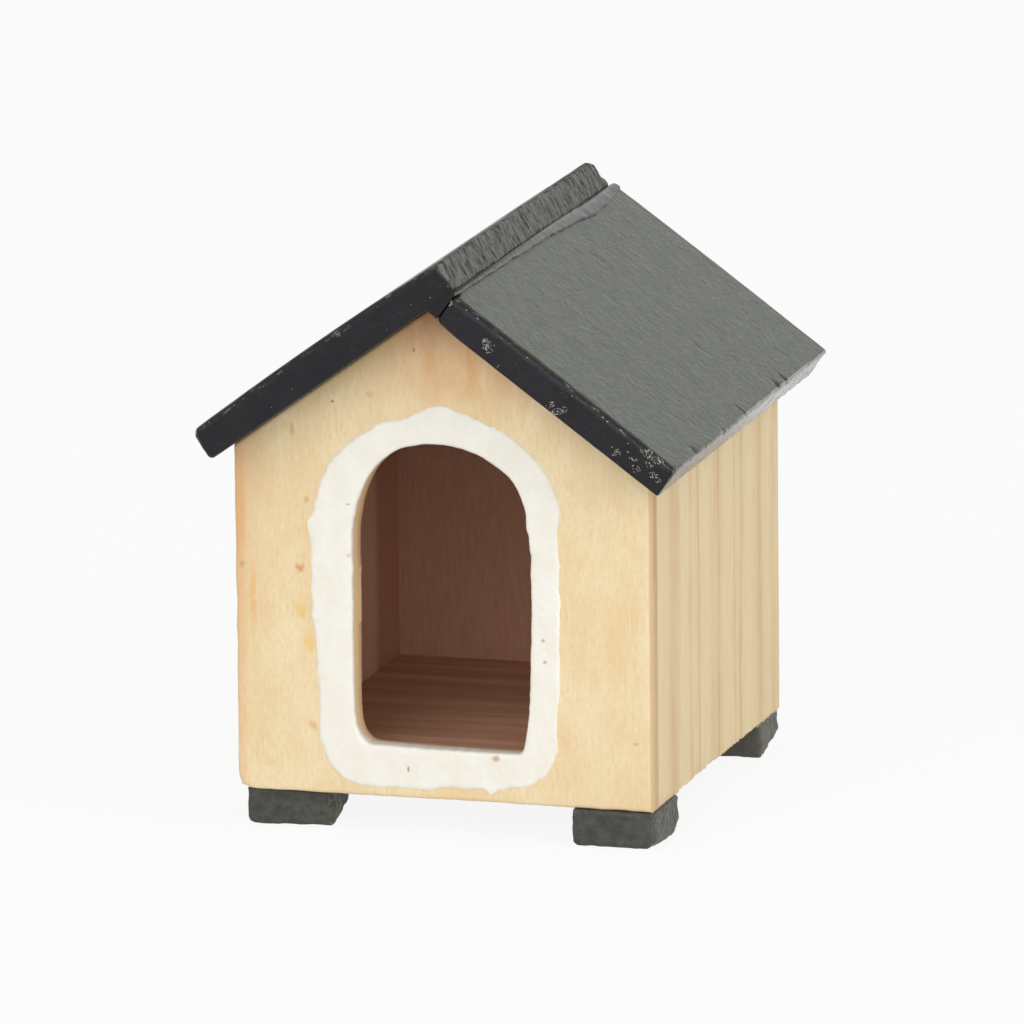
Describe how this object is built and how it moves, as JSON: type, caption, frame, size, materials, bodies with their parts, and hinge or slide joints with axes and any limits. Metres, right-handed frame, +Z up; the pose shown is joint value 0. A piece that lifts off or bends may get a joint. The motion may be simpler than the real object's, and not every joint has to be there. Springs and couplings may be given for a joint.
{
  "type": "doll's house dog house",
  "caption": "Small wooden dog house with an arched doorway, an overhanging pitched roof lapped at the ridge, and block feet.",
  "frame": {"origin": "on the ground, under the middle of the whole outline, which the roof's overhangs set", "axes": "+X to the right seen from the doorway, +Y from the doorway to the back, +Z up"},
  "size_m": [0.0592, 0.0676, 0.0705],
  "materials": {
    "panel_wood": "bare pale straight-grained wood with a little old varnish",
    "side_wood": "bare wood with broad growth rings",
    "floor_wood": "bare wood, unfinished",
    "white_paint": "thin hand-brushed white paint on wood",
    "black_paint": "semi-gloss black paint on wood, bumpy and chipped at the edges"
  },
  "bodies": {
    "root": {"front_wall": "panel_wood", "back_wall": "panel_wood", "left_wall": "side_wood", "right_wall": "side_wood", "floor": "floor_wood", "doorway_band": "white_paint", "left_roof_board": "black_paint", "right_roof_board": "black_paint", "front_left_foot": "black_paint", "front_right_foot": "black_paint", "rear_left_foot": "black_paint", "rear_right_foot": "black_paint"}
  },
  "joints": []
}
